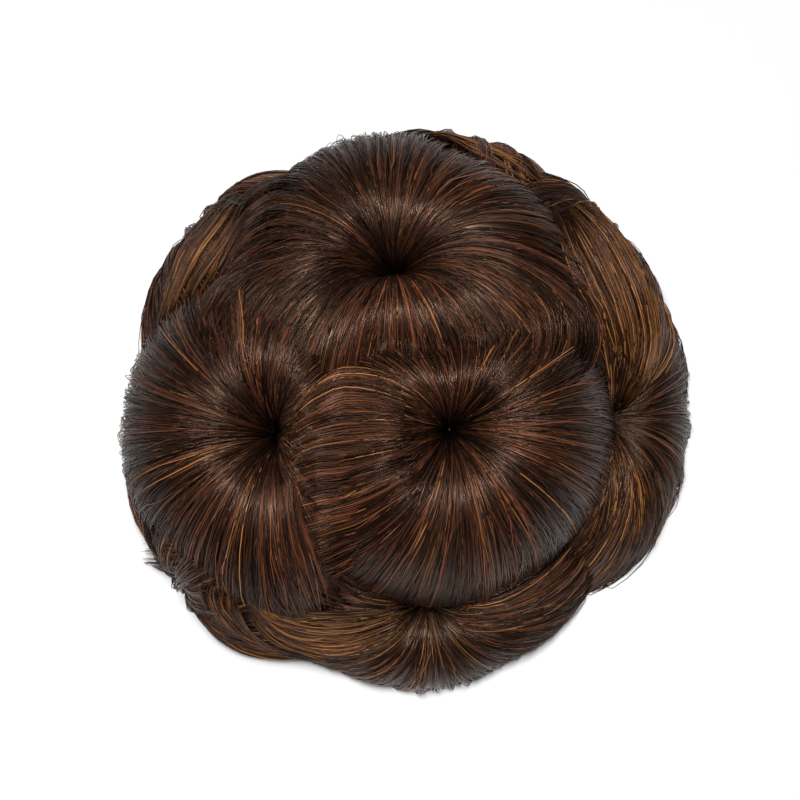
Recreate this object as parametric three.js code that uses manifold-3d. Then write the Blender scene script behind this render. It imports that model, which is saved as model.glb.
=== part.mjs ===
import * as THREE from 'three'
import { mergeVertices } from 'three/addons/utils/BufferGeometryUtils.js'
import Module from 'manifold-3d'

// A chignon hairpiece: nine flowers of hair on a net cap, and inside the cap a claw that
// grips the wearer's own bun. It stands on the hem of the cap, with +Z up and the origin
// in the middle of its underside. Seen from above, +X is to the right. Millimetres.

const wasm = await Module()
wasm.setup()

// Driving dimensions of the whole hairpiece
const BUN_DIAMETER = 140
const BUN_HEIGHT = 62
const GAP = 0.3

// The net cap is half an ellipsoid with a flat hem round its mouth
const CAP_RADIUS = BUN_DIAMETER * 0.36
const CAP_HEIGHT = BUN_HEIGHT * 0.58
const CAP_WALL = 1.6
const HEM_WIDTH = 4
const HEM_HEIGHT = 3
const CAP_RINGS = 5
const CAP_SIDES = 32

// The claw has two curved jaws under a barrel, and two short levers over it
const CLAW_LENGTH = 60
const CLAW_LIFT = 1
const BARREL_RADIUS = 4
const BARREL_LENGTH = 22
const BARREL_SIDES = 16
const BRIDGE_LENGTH = 48
const JAW_RADIUS = 12
const JAW_WALL = 2.4
const JAW_OFFSET = 4.5
const JAW_TIP_TURN = 105
const TOOTH_PITCH = 10
const TOOTH_GAP = 5
const TOOTH_LENGTH = 10
const LEVER_WIDTH = 18
const LEVER_WALL = 2.4
const LEVER_LENGTH = 16
const LEVER_LEAN = 30

// From the pit in the middle of a flower over its crest to the edge that tucks under:
// out is a share of the reach of the hair, and up is a share of the height of the puff
const PUFF_PROFILE = [
  { out: 0.07, up: 0.50 },
  { out: 0.16, up: 0.74 },
  { out: 0.30, up: 0.93 },
  { out: 0.46, up: 1.00 },
  { out: 0.64, up: 0.96 },
  { out: 0.80, up: 0.79 },
  { out: 0.93, up: 0.47 },
  { out: 1.00, up: 0.02 },
  { out: 0.85, up: -0.44 }
]
const PIT_UP = 0.34
const ROOT_UP = -1.25

// The hair of a flower lies in locks, which stand a little proud of each other
const SIDES_PER_LOCK = 3
const LOCK_RELIEF = 0.7

// The nine flowers together lie this far off the middle of the cap
const FLOWERS_SHIFT = new THREE.Vector3(-0.0056, -0.0157, 0).multiplyScalar(BUN_DIAMETER)

// One row for each flower, the upper ones first, because the lower ones tuck under them.
// The seat lies at the azimuth, at shares of the bun's radius (out) and height (up), and
// the axis leans outward there. The puff is a share of the bun's height. The reach of the
// hair, and the radius that it drapes over, are shares of the bun's diameter. Each lobe
// row bends the round form where the hair leaves the pit toward an angle: the hair is
// longer by a share of the diameter, and it sweeps round by so many degrees on its way,
// and that fades out over the width in degrees.
const FLOWERS = [
  {
    name: 'flower_middle', azimuth: -44, out: 0.18, up: 0.615, lean: 6,
    puff: 0.371, drape: 0.571, reach: 0.3, locks: 14,
    lobes: [
      { toward: 95, width: 70, longer: -0.136, sweep: 8 },
      { toward: 35, width: 40, longer: 0.021, sweep: 10 },
      { toward: 175, width: 60, longer: -0.054, sweep: 8 },
      { toward: 268, width: 70, longer: 0, sweep: -3 },
      { toward: 215, width: 45, longer: 0.036, sweep: 0 },
      { toward: 312, width: 40, longer: -0.014, sweep: 0 }
    ]
  },
  {
    name: 'flower_top', azimuth: 97, out: 0.38, up: 0.55, lean: 14,
    puff: 0.403, drape: 0.714, reach: 0.3, locks: 14,
    lobes: [
      { toward: 5, width: 60, longer: 0.1, sweep: -26 },
      { toward: 205, width: 55, longer: 0.043, sweep: 28 },
      { toward: 272, width: 60, longer: -0.093, sweep: 0 },
      { toward: 325, width: 45, longer: -0.029, sweep: -10 },
      { toward: 100, width: 60, longer: 0.029, sweep: 0 }
    ]
  },
  {
    name: 'flower_left', azimuth: 198, out: 0.42, up: 0.52, lean: 16,
    puff: 0.403, drape: 0.714, reach: 0.3, locks: 14,
    lobes: [
      { toward: 5, width: 95, longer: -0.157, sweep: 3 },
      { toward: 135, width: 60, longer: 0.043, sweep: -2 },
      { toward: 100, width: 45, longer: 0.021, sweep: -8 },
      { toward: 275, width: 60, longer: 0.036, sweep: -6 },
      { toward: 190, width: 50, longer: 0.029, sweep: 0 },
      { toward: 318, width: 45, longer: -0.079, sweep: 0 }
    ]
  },
  {
    name: 'flower_east', azimuth: -3, out: 0.63, up: 0.25, lean: 38,
    puff: 0.282, drape: 0.429, reach: 0.257, locks: 12,
    lobes: [
      { toward: 60, width: 60, longer: 0.157, sweep: 3 },
      { toward: 296, width: 60, longer: 0.064, sweep: -3 },
      { toward: 180, width: 60, longer: -0.079, sweep: 0 },
      { toward: 5, width: 40, longer: 0.014, sweep: 0 }
    ]
  },
  {
    name: 'flower_south', azimuth: -84, out: 0.62, up: 0.26, lean: 38,
    puff: 0.274, drape: 0.429, reach: 0.243, locks: 12,
    lobes: [
      { toward: 352, width: 55, longer: 0.093, sweep: 8 },
      { toward: 180, width: 60, longer: 0.179, sweep: -7 },
      { toward: 90, width: 60, longer: -0.086, sweep: 0 },
      { toward: 268, width: 40, longer: -0.007, sweep: 0 },
      { toward: 318, width: 40, longer: -0.021, sweep: 0 }
    ]
  },
  {
    name: 'flower_southwest', azimuth: 217, out: 0.87, up: 0.17, lean: 86,
    puff: 0.202, drape: 0.393, reach: 0.236, locks: 12,
    lobes: [
      { toward: 128, width: 60, longer: 0.114, sweep: 7 },
      { toward: 315, width: 65, longer: 0.021, sweep: -9 },
      { toward: 219, width: 45, longer: -0.036, sweep: 0 }
    ]
  },
  {
    name: 'flower_northwest', azimuth: 138, out: 0.81, up: 0.27, lean: 84,
    puff: 0.25, drape: 0.393, reach: 0.221, locks: 12,
    lobes: [
      { toward: 226, width: 60, longer: 0.093, sweep: 7 },
      { toward: 60, width: 50, longer: 0.014, sweep: -4 },
      { toward: 180, width: 45, longer: -0.029, sweep: 0 }
    ]
  },
  {
    name: 'flower_north', azimuth: 78, out: 0.88, up: 0.18, lean: 86,
    puff: 0.185, drape: 0.393, reach: 0.221, locks: 12,
    lobes: [
      { toward: 355, width: 60, longer: 0, sweep: -8 },
      { toward: 160, width: 50, longer: 0.021, sweep: 7 },
      { toward: 81, width: 45, longer: -0.021, sweep: 0 }
    ]
  },
  {
    name: 'flower_northeast', azimuth: 44, out: 0.84, up: 0.25, lean: 82,
    puff: 0.202, drape: 0.393, reach: 0.214, locks: 12,
    lobes: [
      { toward: 300, width: 60, longer: 0.064, sweep: 8 },
      { toward: 20, width: 45, longer: 0.014, sweep: 0 },
      { toward: 95, width: 50, longer: -0.021, sweep: 0 }
    ]
  }
]

const HAIR = new THREE.MeshStandardMaterial({ color: 0x3c2319, roughness: 0.45, metalness: 0 })
const NET = new THREE.MeshStandardMaterial({ color: 0x1e1612, roughness: 0.9, metalness: 0 })
const CLAW_PLASTIC = new THREE.MeshStandardMaterial({ color: 0x2a1b14, roughness: 0.35, metalness: 0 })

const { degToRad } = THREE.MathUtils
const UP = new THREE.Vector3(0, 0, 1)

// Solids from three.js geometries, and back
function solidOf(geometry) {
  geometry.deleteAttribute('normal')
  geometry.deleteAttribute('uv')
  const merged = mergeVertices(geometry, 1e-4)
  return new wasm.Manifold(new wasm.Mesh({
    numProp: 3,
    vertProperties: new Float32Array(merged.attributes.position.array),
    triVerts: new Uint32Array(merged.index.array)
  }))
}

function geometryOf(solid) {
  const mesh = solid.getMesh()
  const geometry = new THREE.BufferGeometry()
  geometry.setAttribute('position', new THREE.BufferAttribute(mesh.vertProperties, mesh.numProp))
  geometry.setIndex(new THREE.BufferAttribute(mesh.triVerts, 1))
  geometry.computeVertexNormals()
  return geometry
}

// Trimming a tucked flower can leave scraps beside it: only its main body is kept
function mainBody(solid) {
  return solid.decompose().reduce((best, piece) => (piece.volume() > best.volume() ? piece : best))
}

function meshOf(name, solid, material) {
  const mesh = new THREE.Mesh(geometryOf(solid), material)
  mesh.name = name
  return mesh
}

// A quarter of an ellipse from the pole down to the mouth
function domeArc(radius, height) {
  return Array.from({ length: CAP_RINGS + 1 }, (_, i) => {
    const angle = (Math.PI / 2) * (1 - i / CAP_RINGS)
    return new THREE.Vector2(radius * Math.cos(angle), height * Math.sin(angle))
  })
}

function latheSolid(points) {
  points[0].x = 0
  return solidOf(new THREE.LatheGeometry(points.reverse(), CAP_SIDES).rotateX(Math.PI / 2))
}

// The full dome, with a skirt that reaches below the floor
function fullDome(radius, height) {
  const floor = -BUN_HEIGHT / 2
  const skirt = [new THREE.Vector2(radius, floor), new THREE.Vector2(0, floor)]
  return latheSolid([...domeArc(radius, height), ...skirt])
}

function capSolid() {
  const outer = domeArc(CAP_RADIUS, CAP_HEIGHT)
  const hollow = fullDome(CAP_RADIUS - CAP_WALL, CAP_HEIGHT - CAP_WALL)
  const shell = latheSolid([...outer, new THREE.Vector2(0, 0)]).subtract(hollow)
  const hem = latheSolid([
    new THREE.Vector2(0, HEM_HEIGHT),
    new THREE.Vector2(CAP_RADIUS - CAP_WALL / 2, HEM_HEIGHT),
    new THREE.Vector2(CAP_RADIUS, 0),
    new THREE.Vector2(0, 0)
  ])
  const mouth = new THREE.CylinderGeometry(
    CAP_RADIUS - HEM_WIDTH, CAP_RADIUS - HEM_WIDTH, BUN_HEIGHT, CAP_SIDES)
  return shell.add(hem.subtract(solidOf(mouth.rotateX(Math.PI / 2).rotateZ(Math.PI / 2))))
}

// A jaw is half a ring, bent about an axis along X, with its teeth cut in its lower edge
function jawSolid(side) {
  const centre = { y: JAW_OFFSET, z: JAW_RADIUS + CLAW_LIFT }
  const tip = degToRad(-JAW_TIP_TURN)
  const outline = new THREE.Shape()
  outline.absarc(centre.y, centre.z, JAW_RADIUS, tip, Math.PI / 2, false)
  outline.absarc(centre.y, centre.z, JAW_RADIUS - JAW_WALL, Math.PI / 2, tip, true)
  const geometry = new THREE.ExtrudeGeometry(outline, {
    depth: CLAW_LENGTH, bevelEnabled: false, curveSegments: 7
  })
  geometry.translate(0, 0, -CLAW_LENGTH / 2)
  geometry.applyMatrix4(new THREE.Matrix4().makeBasis(
    new THREE.Vector3(0, 1, 0), UP, new THREE.Vector3(1, 0, 0)))
  let jaw = solidOf(geometry)
  const shift = side > 0 ? 0 : TOOTH_PITCH / 2
  const half = Math.ceil(CLAW_LENGTH / TOOTH_PITCH / 2)
  for (let i = -half; i <= half; i += 1) {
    const slot = new THREE.BoxGeometry(TOOTH_GAP, 4 * JAW_RADIUS, TOOTH_LENGTH)
    slot.translate(i * TOOTH_PITCH + shift, JAW_RADIUS, TOOTH_LENGTH / 2)
    jaw = jaw.subtract(solidOf(slot))
  }
  return side > 0 ? jaw : jaw.mirror([0, 1, 0])
}

function leverSolid(side) {
  const lever = new THREE.BoxGeometry(LEVER_WIDTH, LEVER_WALL, LEVER_LENGTH)
  lever.translate(0, 0, LEVER_LENGTH / 2)
  lever.rotateX(degToRad(-side * LEVER_LEAN))
  return solidOf(lever)
}

// The levers end just under the net of the cap
function clawSolid() {
  const top = CLAW_LIFT + 2 * JAW_RADIUS - JAW_WALL / 2
  const barrel = new THREE.CylinderGeometry(
    BARREL_RADIUS, BARREL_RADIUS, BARREL_LENGTH, BARREL_SIDES)
  const bridge = new THREE.BoxGeometry(BRIDGE_LENGTH, 2 * JAW_OFFSET + JAW_WALL, JAW_WALL)
  const levers = leverSolid(1).add(leverSolid(-1)).add(solidOf(barrel.rotateZ(Math.PI / 2)))
  const inside = CAP_WALL + GAP
  return jawSolid(1)
    .add(jawSolid(-1))
    .add(levers.add(solidOf(bridge)).translate([0, 0, top]))
    .intersect(fullDome(CAP_RADIUS - inside, CAP_HEIGHT - inside))
}

// How much the lobes of a flower add, where its hair leaves the pit at an angle
function lobeSum(flower, angle, column) {
  return flower.lobes.reduce((sum, lobe) => {
    const away = Math.abs(THREE.MathUtils.euclideanModulo(angle - lobe.toward + 180, 360) - 180)
    const fade = away < lobe.width ? 0.5 + 0.5 * Math.cos(Math.PI * away / lobe.width) : 0
    return sum + lobe[column] * fade
  }, 0)
}

// The place of a flower: its seat on the dome and the turn that leans its axis outward
function seatOf(flower) {
  const azimuth = degToRad(flower.azimuth)
  const seat = new THREE.Vector3(Math.cos(azimuth), Math.sin(azimuth), 0)
    .multiplyScalar(flower.out * BUN_DIAMETER / 2)
    .setZ(flower.up * BUN_HEIGHT)
    .add(FLOWERS_SHIFT)
  const hinge = new THREE.Vector3(-Math.sin(azimuth), Math.cos(azimuth), 0)
  return new THREE.Matrix4().makeRotationAxis(hinge, degToRad(flower.lean)).setPosition(seat)
}

// The puff of a flower as a closed net: the pit, a ring for each row of the profile, and
// the root deep inside the cap. The hair drapes over the dome as it runs outward.
function puffSolid(flower, grow) {
  const sides = flower.locks * SIDES_PER_LOCK
  const height = flower.puff * BUN_HEIGHT + grow
  const drape = flower.drape * BUN_DIAMETER
  const points = [new THREE.Vector3(0, 0, height * PIT_UP)]
  for (const { out, up } of PUFF_PROFILE) {
    for (let i = 0; i < sides; i += 1) {
      const leave = 360 * i / sides
      const angle = degToRad(leave + lobeSum(flower, leave, 'sweep') * out)
      const reach = (flower.reach + lobeSum(flower, leave, 'longer')) * BUN_DIAMETER + grow
      const radius = reach * out
      const ridge = LOCK_RELIEF * Math.cos(2 * Math.PI * i / SIDES_PER_LOCK) * Math.sin(Math.PI * out)
      const level = height * up + ridge - radius * radius / (2 * drape)
      points.push(new THREE.Vector3(radius * Math.cos(angle), radius * Math.sin(angle), level))
    }
  }
  points.push(new THREE.Vector3(0, 0, height * ROOT_UP))

  const faces = []
  const root = points.length - 1
  const at = (ring, i) => 1 + ring * sides + i % sides
  const last = PUFF_PROFILE.length - 1
  for (let i = 0; i < sides; i += 1) {
    faces.push(0, at(0, i), at(0, i + 1))
    for (let ring = 0; ring < last; ring += 1) {
      faces.push(at(ring, i), at(ring + 1, i), at(ring + 1, i + 1))
      faces.push(at(ring, i), at(ring + 1, i + 1), at(ring, i + 1))
    }
    faces.push(at(last, i), root, at(last, i + 1))
  }
  const geometry = new THREE.BufferGeometry().setFromPoints(points)
  geometry.setIndex(faces)
  return solidOf(geometry.applyMatrix4(seatOf(flower)))
}

// Each flower sits on the cap and tucks under the flowers before it in the table
function flowerMeshes() {
  const below = new THREE.BoxGeometry(2 * BUN_DIAMETER, 2 * BUN_DIAMETER, BUN_HEIGHT)
  let taken = solidOf(below.translate(0, 0, -BUN_HEIGHT / 2))
    .add(fullDome(CAP_RADIUS + GAP, CAP_HEIGHT + GAP))
  return FLOWERS.map((flower) => {
    const solid = mainBody(puffSolid(flower, 0).subtract(taken))
    taken = taken.add(puffSolid(flower, GAP))
    return meshOf(flower.name, solid, HAIR)
  })
}

const hairpiece = new THREE.Group()
hairpiece.add(meshOf('net_cap', capSolid(), NET))
hairpiece.add(meshOf('claw', clawSolid(), CLAW_PLASTIC))
hairpiece.add(...flowerMeshes())

export default hairpiece
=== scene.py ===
# %% [markdown]
# # A hair bun on a claw clip
#
# This lesson dresses a chignon hairpiece: nine flowers of brown hair sit on a net cap, and
# a claw inside the cap grips the wearer's own bun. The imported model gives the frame, so
# every piece below is made in its place, in metres, with +Z up out of the hair.

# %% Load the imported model
import math

import bmesh
import bpy
import numpy as np
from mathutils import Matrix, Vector
from mathutils.bvhtree import BVHTree


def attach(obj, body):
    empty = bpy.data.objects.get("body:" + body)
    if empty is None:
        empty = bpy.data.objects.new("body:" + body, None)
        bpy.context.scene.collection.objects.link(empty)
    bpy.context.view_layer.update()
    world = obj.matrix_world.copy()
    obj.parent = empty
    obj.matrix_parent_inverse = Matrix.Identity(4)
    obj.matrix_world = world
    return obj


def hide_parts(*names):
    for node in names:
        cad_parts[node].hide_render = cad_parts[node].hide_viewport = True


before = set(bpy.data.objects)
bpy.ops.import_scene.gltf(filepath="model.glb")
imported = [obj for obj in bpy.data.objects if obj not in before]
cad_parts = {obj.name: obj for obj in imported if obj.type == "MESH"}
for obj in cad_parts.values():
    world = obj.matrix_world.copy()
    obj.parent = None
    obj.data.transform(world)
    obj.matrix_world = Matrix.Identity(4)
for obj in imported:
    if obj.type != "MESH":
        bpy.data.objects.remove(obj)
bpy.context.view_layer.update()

# %% [markdown]
# ## Camera, floor and light
#
# A catalogue photo of a hairpiece is taken from nearly straight above, on white, with a
# long lens. The camera comes first, because everything is judged through it. One strong
# soft box hangs over the bun, so the crest of each puff catches it while the pits stay
# dark. The side lights and the sky are weak: dark hair mirrors whatever is bright and
# low, and would turn grey at the steep sides. The floor still comes out white, because
# the key light alone is enough for it.

# %% Camera
CAMERA_ELEVATION = math.radians(80)
CAMERA_DISTANCE = 0.551
CAMERA_LENS_MM = 100
CAMERA_AIM = Vector((-0.0027, -0.0007, 0.025))

towards_camera = Vector((0, -math.cos(CAMERA_ELEVATION), math.sin(CAMERA_ELEVATION)))
camera_data = bpy.data.cameras.new("catalogue_camera")
camera_data.lens = CAMERA_LENS_MM
camera = bpy.data.objects.new("catalogue_camera", camera_data)
camera.location = CAMERA_AIM + CAMERA_DISTANCE * towards_camera
camera.rotation_euler = (math.pi / 2 - CAMERA_ELEVATION, 0, 0)
bpy.context.scene.collection.objects.link(camera)
bpy.context.scene.camera = camera
print("camera at", [round(c, 3) for c in camera.location])

# %% Floor and light
FLOOR_SIZE = 6
FLOOR_COLOUR = (0.62, 0.62, 0.62)
SIDE_LIGHT_SIZE = 0.45
SIDE_LIGHT_WATTS = 0.22
SKY_STRENGTH = 0.06


def plain_material(name, colour, roughness):
    """A material of one colour, for what isn't part of the hairpiece."""
    material = bpy.data.materials.new(name)
    material.use_nodes = True
    shader = material.node_tree.nodes["Principled BSDF"]
    shader.inputs["Base Color"].default_value = (*colour, 1)
    shader.inputs["Roughness"].default_value = roughness
    return material


def soft_light(name, place, size, watts):
    """A square soft box that looks at the bun."""
    data = bpy.data.lights.new(name, "AREA")
    data.shape = "SQUARE"
    data.size = size
    data.energy = watts
    light = bpy.data.objects.new(name, data)
    light.location = place
    light.rotation_euler = (CAMERA_AIM - light.location).to_track_quat("-Z", "Y").to_euler()
    bpy.context.scene.collection.objects.link(light)
    return light


bpy.ops.object.select_all(action="DESELECT")
bpy.ops.mesh.primitive_plane_add(size=FLOOR_SIZE, location=(0, 0, 0))
floor = bpy.context.object
floor.name = "floor"
floor.data.materials.append(plain_material("pale_paper", FLOOR_COLOUR, 0.9))

soft_light("key", (-0.05, -0.02, 1.0), 0.22, 16)
soft_light("side_right", (0.85, -0.10, 0.32), SIDE_LIGHT_SIZE, SIDE_LIGHT_WATTS)
soft_light("side_left", (-0.85, 0.10, 0.32), SIDE_LIGHT_SIZE, SIDE_LIGHT_WATTS)
soft_light("side_back", (0.10, 0.85, 0.32), SIDE_LIGHT_SIZE, SIDE_LIGHT_WATTS)
soft_light("side_front", (-0.10, -0.85, 0.32), SIDE_LIGHT_SIZE, SIDE_LIGHT_WATTS)

world = bpy.data.worlds.new("white_studio")
world.use_nodes = True
world.node_tree.nodes["Background"].inputs["Color"].default_value = (1, 1, 1, 1)
world.node_tree.nodes["Background"].inputs["Strength"].default_value = SKY_STRENGTH
bpy.context.scene.world = world
bpy.context.scene.view_settings.view_transform = "Standard"

# %% [markdown]
# ## The form of a flower
#
# A hairdresser makes such a flower by winding a curled lock round a finger: the hair comes
# up out of a pit, bends over a crest and tucks in under itself. So one curve from the pit
# to the tucked edge gives the form, turned round an axis that leans out over the dome. The
# hair isn't equally long all round, and where it sweeps over to a neighbour it also turns
# sideways on its way. Short rows of lobes say where, how far and how much.

# %% Sizes and the table of flowers
BUN_DIAMETER = 0.140
BUN_HEIGHT = 0.062
CAP_RADIUS = 0.36 * BUN_DIAMETER
CAP_HEIGHT = 0.58 * BUN_HEIGHT
FLOWERS_SHIFT = np.array([-0.0056, -0.0157, 0]) * BUN_DIAMETER

# Shares of the reach of the hair and of the height of the puff, from the pit to the edge
PUFF_PROFILE = np.array([
    (0.00, 0.34),
    (0.07, 0.50),
    (0.16, 0.74),
    (0.30, 0.93),
    (0.46, 1.00),
    (0.64, 0.96),
    (0.80, 0.79),
    (0.93, 0.47),
    (1.00, 0.02),
    (0.85, -0.44),
])

# Puff is a share of the bun's height, and drape, reach and longer are shares of its
# diameter. Lobe columns: toward, width, longer, sweep
TOWARD, WIDTH, LONGER, SWEEP = range(4)
FLOWERS = {
    "middle": dict(
        azimuth=-44, out=0.18, up=0.615, lean=6, puff=0.371, drape=0.571, reach=0.3, locks=14,
        lobes=[
            (95, 70, -0.136, 8), (35, 40, 0.021, 10), (175, 60, -0.054, 8),
            (268, 70, 0, -3), (215, 45, 0.036, 0), (312, 40, -0.014, 0),
        ],
    ),
    "top": dict(
        azimuth=97, out=0.38, up=0.55, lean=14, puff=0.403, drape=0.714, reach=0.3, locks=14,
        lobes=[
            (5, 60, 0.1, -26), (205, 55, 0.043, 28), (272, 60, -0.093, 0),
            (325, 45, -0.029, -10), (100, 60, 0.029, 0),
        ],
    ),
    "left": dict(
        azimuth=198, out=0.42, up=0.52, lean=16, puff=0.403, drape=0.714, reach=0.3, locks=14,
        lobes=[
            (5, 95, -0.157, 3), (135, 60, 0.043, -2), (100, 45, 0.021, -8),
            (275, 60, 0.036, -6), (190, 50, 0.029, 0), (318, 45, -0.079, 0),
        ],
    ),
    "east": dict(
        azimuth=-3, out=0.63, up=0.25, lean=38, puff=0.282, drape=0.429, reach=0.257, locks=12,
        lobes=[(60, 60, 0.157, 3), (296, 60, 0.064, -3), (180, 60, -0.079, 0), (5, 40, 0.014, 0)],
    ),
    "south": dict(
        azimuth=-84, out=0.62, up=0.26, lean=38, puff=0.274, drape=0.429, reach=0.243, locks=12,
        lobes=[
            (352, 55, 0.093, 8), (180, 60, 0.179, -7), (90, 60, -0.086, 0),
            (268, 40, -0.007, 0), (318, 40, -0.021, 0),
        ],
    ),
    "southwest": dict(
        azimuth=217, out=0.87, up=0.17, lean=86, puff=0.202, drape=0.393, reach=0.236, locks=12,
        lobes=[(128, 60, 0.114, 7), (315, 65, 0.021, -9), (219, 45, -0.036, 0)],
    ),
    "northwest": dict(
        azimuth=138, out=0.81, up=0.27, lean=84, puff=0.25, drape=0.393, reach=0.221, locks=12,
        lobes=[(226, 60, 0.093, 7), (60, 50, 0.014, -4), (180, 45, -0.029, 0)],
    ),
    "north": dict(
        azimuth=78, out=0.88, up=0.18, lean=86, puff=0.185, drape=0.393, reach=0.221, locks=12,
        lobes=[(355, 60, 0, -8), (160, 50, 0.021, 7), (81, 45, -0.021, 0)],
    ),
    "northeast": dict(
        azimuth=44, out=0.84, up=0.25, lean=82, puff=0.202, drape=0.393, reach=0.214, locks=12,
        lobes=[(300, 60, 0.064, 8), (20, 45, 0.014, 0), (95, 50, -0.021, 0)],
    ),
}
print("a table of", len(FLOWERS), "flowers")

# %% [markdown]
# ## From numbers to a form
#
# A row of few points makes a smooth form only if a smooth curve runs through it. A curve
# object could do that, but thousands of strands need points at places of their own, so the
# same kind of curve is worked out in a few lines for whole arrays at once.

# %% Smooth curves through rows of points


def smooth_curve(rows, place):
    """Points at each place, from 0 to 1, on curves through rows (n, d) or (curves, n, d)."""
    last = rows.shape[-2] - 1
    place = np.clip(place, 0, 1) * last
    row = np.minimum(place.astype(int), last - 1)
    t = (place - row)[..., None]

    def pick(step):
        index = np.clip(row + step, 0, last)
        if rows.ndim == 2:
            return rows[index]
        return np.take_along_axis(rows, index[..., None], axis=1)

    before, here, there, after = pick(-1), pick(0), pick(1), pick(2)
    bend = (2 * before - 5 * here + 4 * there - after) * t
    bend = bend + (3 * here - before - 3 * there + after) * t * t
    return 0.5 * (2 * here + (there - before) * t + bend * t)


print("halfway from pit to edge the profile is at", smooth_curve(PUFF_PROFILE, np.array(0.5)).round(3))

# %% From the table to points in space
LOCK_RELIEF = 0.0007
FINE_RELIEF = 0.0002
SEAT_GAP = 0.0004


def lobe_sum(flower, leave, column):
    """What the lobes of a flower add for hair that leaves the pit at these angles, in degrees."""
    total = np.zeros_like(leave)
    for lobe in flower["lobes"]:
        away = np.abs((leave - lobe[TOWARD] + 180) % 360 - 180)
        fade = 0.5 + 0.5 * np.cos(np.pi * np.minimum(away / lobe[WIDTH], 1))
        total = total + lobe[column] * fade
    return total


def seat_and_axes(flower):
    """The seat of a flower on the dome, and its three axes, the last one along the flower."""
    azimuth, lean = math.radians(flower["azimuth"]), math.radians(flower["lean"])
    outward = np.array([math.cos(azimuth), math.sin(azimuth), 0])
    hinge = np.array([-math.sin(azimuth), math.cos(azimuth), 0])
    axes = [
        v * math.cos(lean)
        + np.cross(hinge, v) * math.sin(lean)
        + hinge * (hinge @ v) * (1 - math.cos(lean))
        for v in np.eye(3)
    ]
    seat = outward * flower["out"] * BUN_DIAMETER / 2 + FLOWERS_SHIFT
    return seat + np.array([0, 0, flower["up"] * BUN_HEIGHT]), axes


def hair_surface(flower, leave, along):
    """Points on the form of a flower, for hair that leaves at an angle and has run that far."""
    leave, along = np.broadcast_arrays(np.asarray(leave, float), np.asarray(along, float))
    seat, (across, forward, axis) = seat_and_axes(flower)
    out, up = np.moveaxis(smooth_curve(PUFF_PROFILE, along), -1, 0)
    angle = np.radians(leave + lobe_sum(flower, leave, SWEEP) * out)
    radius = (flower["reach"] + lobe_sum(flower, leave, LONGER)) * BUN_DIAMETER * out
    turn = np.radians(leave)
    locks = LOCK_RELIEF * np.cos(flower["locks"] * turn)
    fine = np.cos(37 * turn + 2 * np.sin(5 * turn)) + np.cos(83 * turn + 3 * np.sin(7 * turn))
    fine = FINE_RELIEF * fine
    ridge = (locks + fine) * np.sin(np.pi * np.clip(out, 0, 1))
    drop = radius ** 2 / (2 * flower["drape"] * BUN_DIAMETER)
    level = flower["puff"] * BUN_HEIGHT * up + ridge - drop
    return (
        seat
        + (radius * np.cos(angle))[..., None] * across
        + (radius * np.sin(angle))[..., None] * forward
        + level[..., None] * axis
    )


def stay_outside(points, gap=SEAT_GAP):
    """Moves points that lie inside the cap, or under the floor, out onto it."""
    inside = np.sqrt(
        (points[..., 0] ** 2 + points[..., 1] ** 2) / (CAP_RADIUS + gap) ** 2
        + points[..., 2] ** 2 / (CAP_HEIGHT + gap) ** 2
    )
    points = points / np.minimum(inside, 1)[..., None]
    points[..., 2] = np.maximum(points[..., 2], gap)
    return points


print("crest of the middle flower at", hair_surface(FLOWERS["middle"], 270.0, 0.45).round(4))

# %% [markdown]
# ## The body of a flower
#
# Under the loose strands a flower is a packed mass of hair. A UV sphere is the natural
# start for it: its rings become the rings from pit to edge, and its own map already runs
# round and along the hair. The last rings go on from the edge to the cap, and close there.

# %% Body from a UV sphere
BODY_INSET = 0.0005
EDGE_RING = 0.84
ROOT_SHARE = 0.2
BODY_SHARE_OF_MAP = 0.5


def flower_body(name, sides, rings):
    """A UV sphere of so many sides and rings, whose points are moved onto the flower's form."""
    flower = FLOWERS[name]
    bpy.ops.object.select_all(action="DESELECT")
    bpy.ops.mesh.primitive_uv_sphere_add(segments=sides, ring_count=rings, radius=1)
    body = bpy.context.object
    body.name = "hair_" + name
    mesh = body.data
    sphere = np.empty(3 * len(mesh.vertices))
    mesh.vertices.foreach_get("co", sphere)
    sphere = sphere.reshape(-1, 3)
    leave = np.degrees(np.arctan2(sphere[:, 1], sphere[:, 0]))
    down = np.arccos(np.clip(sphere[:, 2], -1, 1)) / np.pi
    sunk = dict(flower, puff=flower["puff"] - BODY_INSET / BUN_HEIGHT)
    points = hair_surface(sunk, leave, down / EDGE_RING)
    seat, _ = seat_and_axes(flower)
    root = stay_outside(ROOT_SHARE * seat[None])[0]
    tuck = np.clip((down - EDGE_RING) / (1 - EDGE_RING), 0, 1)[:, None]
    points = stay_outside(points * (1 - tuck) + root * tuck)
    mesh.vertices.foreach_set("co", points.ravel())
    mesh.uv_layers[0].name = "OFBake"
    flat = np.empty(2 * len(mesh.loops))
    mesh.uv_layers["OFBake"].data.foreach_get("uv", flat)
    flat = flat.reshape(-1, 2) * (1, BODY_SHARE_OF_MAP) + (0, 1 - BODY_SHARE_OF_MAP)
    mesh.uv_layers["OFBake"].data.foreach_set("uv", flat.ravel())
    mesh.update()
    return body


print("a body lies", 1000 * BODY_INSET, "mm under its flower's form")

# %% [markdown]
# ## One strand
#
# What the eye reads as hair is thousands of thin strands that catch the light one by one.
# A strand is modelled once, as a three-sided rod that is cut into short lengths so that it
# can bend. All copies for a flower go into one mesh, because thousands of objects would be
# slow: each copy only gives the rod's points a new path.

# %% Model the strand
STRAND_STEPS = 13


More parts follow.
